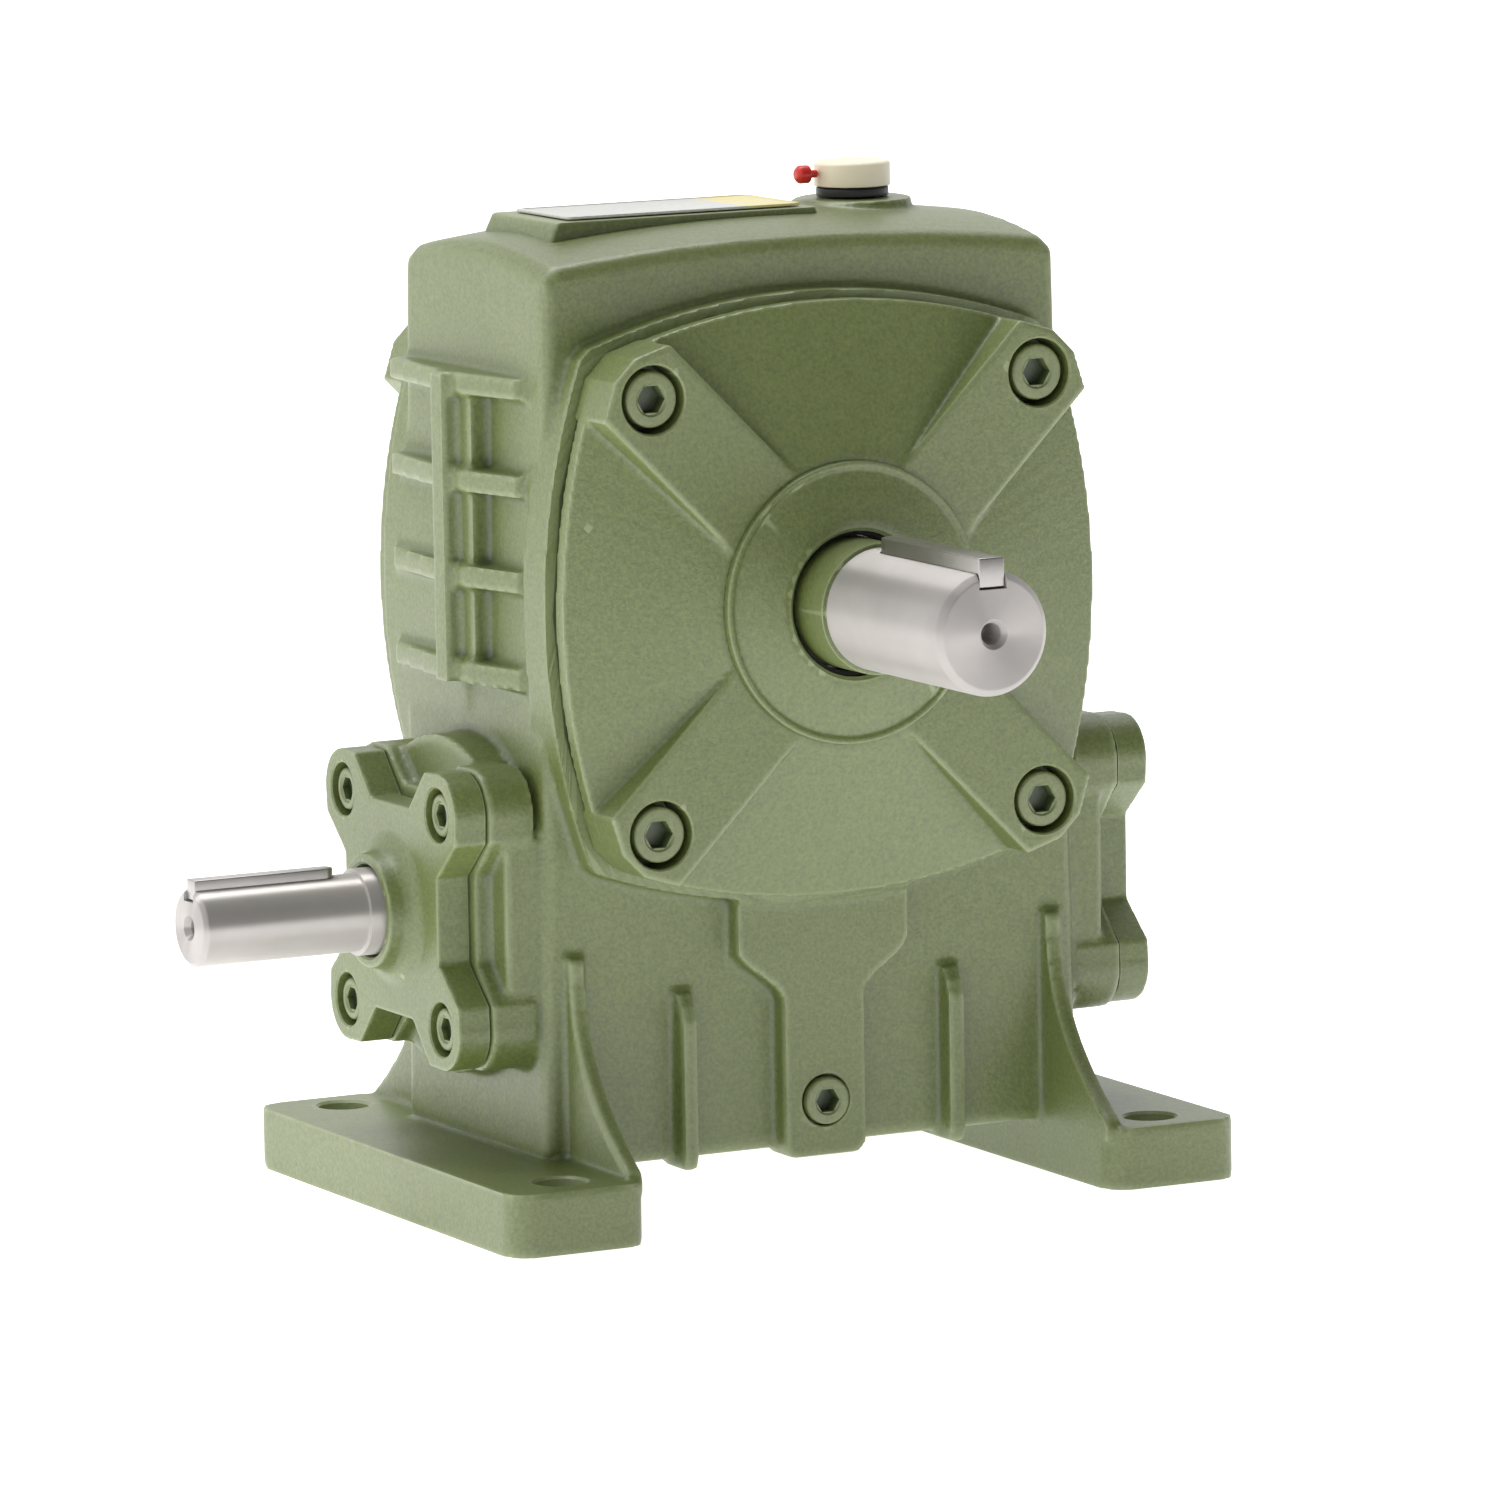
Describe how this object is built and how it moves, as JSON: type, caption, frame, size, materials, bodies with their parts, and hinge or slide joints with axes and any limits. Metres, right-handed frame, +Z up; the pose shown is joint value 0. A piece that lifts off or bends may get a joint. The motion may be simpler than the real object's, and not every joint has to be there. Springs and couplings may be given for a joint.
{
  "type": "worm gearbox",
  "caption": "Foot-mounted worm gearbox with the worm below the wheel, ribbed cast housing, squared cover with four arms, keyed input and output shafts and a breather on top.",
  "frame": {"origin": "centre of the bounding box in X and Y, on the foot soles (z = 0)", "axes": "+X along the worm shaft away from its keyed input end, -Y along the output shaft towards its keyed end, +Z up from the feet"},
  "size_m": [0.2336, 0.1944, 0.2346],
  "materials": {
    "housing_paint": "semi-gloss green paint on cast iron, fine cast grain",
    "cover_paint": "semi-gloss green paint on cast iron",
    "screw_paint": "green paint over socket-head screws",
    "gasket": "compressed paper gasket",
    "bearing_steel": "ground bearing steel",
    "seal_rubber": "black nitrile lip seal",
    "bare_steel": "ground bare steel",
    "bronze": "machined bronze",
    "hub_iron": "grey cast iron",
    "black_plastic": "black moulded plastic",
    "cream_plastic": "cream moulded plastic",
    "red_plastic": "red moulded plastic",
    "plate": "blank anodised plate"
  },
  "bodies": {
    "housing_body": {"housing": "housing_paint", "output_cover_front": "cover_paint", "output_cover_rear": "cover_paint", "input_cover": "cover_paint", "worm_end_cover": "cover_paint", "output_cover_front_bolt_1": "screw_paint", "output_cover_front_bolt_2": "screw_paint", "output_cover_front_bolt_3": "screw_paint", "output_cover_front_bolt_4": "screw_paint", "output_cover_rear_bolt_1": "screw_paint", "output_cover_rear_bolt_2": "screw_paint", "output_cover_rear_bolt_3": "screw_paint", "output_cover_rear_bolt_4": "screw_paint", "input_cover_bolt_1": "screw_paint", "input_cover_bolt_2": "screw_paint", "input_cover_bolt_3": "screw_paint", "input_cover_bolt_4": "screw_paint", "worm_end_cover_bolt_1": "screw_paint", "worm_end_cover_bolt_2": "screw_paint", "worm_end_cover_bolt_3": "screw_paint", "worm_end_cover_bolt_4": "screw_paint", "output_gasket_front": "gasket", "output_gasket_rear": "gasket", "input_gasket": "gasket", "worm_end_gasket": "gasket", "output_seal": "seal_rubber", "input_seal": "seal_rubber", "drain_plug": "screw_paint", "oil_level_plug": "screw_paint", "breather_base": "black_plastic", "breather_cap": "cream_plastic", "breather_pin": "red_plastic", "nameplate": "plate", "output_bearing_front_outer_ring": "bearing_steel", "output_bearing_rear_outer_ring": "bearing_steel", "worm_bearing_input_outer_ring": "bearing_steel", "worm_bearing_far_outer_ring": "bearing_steel"},
    "output_shaft_body": {"output_shaft": "bare_steel", "output_key": "bare_steel", "wheel_hub": "hub_iron", "wheel_rim": "bronze", "wheel_key": "bare_steel", "spacer_front": "bare_steel", "spacer_rear": "bare_steel", "output_bearing_front_inner_ring": "bearing_steel", "output_bearing_rear_inner_ring": "bearing_steel"},
    "worm_body": {"worm_shaft": "bare_steel", "input_key": "bare_steel", "worm_bearing_input_inner_ring": "bearing_steel", "worm_bearing_far_inner_ring": "bearing_steel"},
    "output_bearing_front_cage": {"output_bearing_front_rollers": "bearing_steel"},
    "output_bearing_rear_cage": {"output_bearing_rear_rollers": "bearing_steel"},
    "worm_bearing_input_cage": {"worm_bearing_input_rollers": "bearing_steel"},
    "worm_bearing_far_cage": {"worm_bearing_far_rollers": "bearing_steel"}
  },
  "joints": [
    {"name": "output_spin", "type": "hinge", "parent": "housing_body", "child": "output_shaft_body", "pos_m": [0.02325, 0.02775, 0.14], "axis": [0, 1, 0], "continuous": true},
    {"name": "worm_spin", "type": "hinge", "parent": "housing_body", "child": "worm_body", "pos_m": [0.02325, 0.02775, 0.07], "axis": [1, 0, 0], "continuous": true},
    {"name": "output_front_cage_spin", "type": "hinge", "parent": "housing_body", "child": "output_bearing_front_cage", "pos_m": [0.02325, -0.01725, 0.14], "axis": [0, 1, 0], "continuous": true},
    {"name": "output_rear_cage_spin", "type": "hinge", "parent": "housing_body", "child": "output_bearing_rear_cage", "pos_m": [0.02325, 0.07275, 0.14], "axis": [0, 1, 0], "continuous": true},
    {"name": "worm_input_cage_spin", "type": "hinge", "parent": "housing_body", "child": "worm_bearing_input_cage", "pos_m": [-0.04675, 0.02775, 0.07], "axis": [1, 0, 0], "continuous": true},
    {"name": "worm_far_cage_spin", "type": "hinge", "parent": "housing_body", "child": "worm_bearing_far_cage", "pos_m": [0.09325, 0.02775, 0.07], "axis": [1, 0, 0], "continuous": true}
  ],
  "couplings": [
    {"joint": "worm_spin", "follows": "output_spin", "ratio": 30},
    {"joint": "output_front_cage_spin", "follows": "output_spin", "ratio": 0.43},
    {"joint": "output_rear_cage_spin", "follows": "output_spin", "ratio": 0.43},
    {"joint": "worm_input_cage_spin", "follows": "output_spin", "ratio": 12.9},
    {"joint": "worm_far_cage_spin", "follows": "output_spin", "ratio": 12.9}
  ]
}
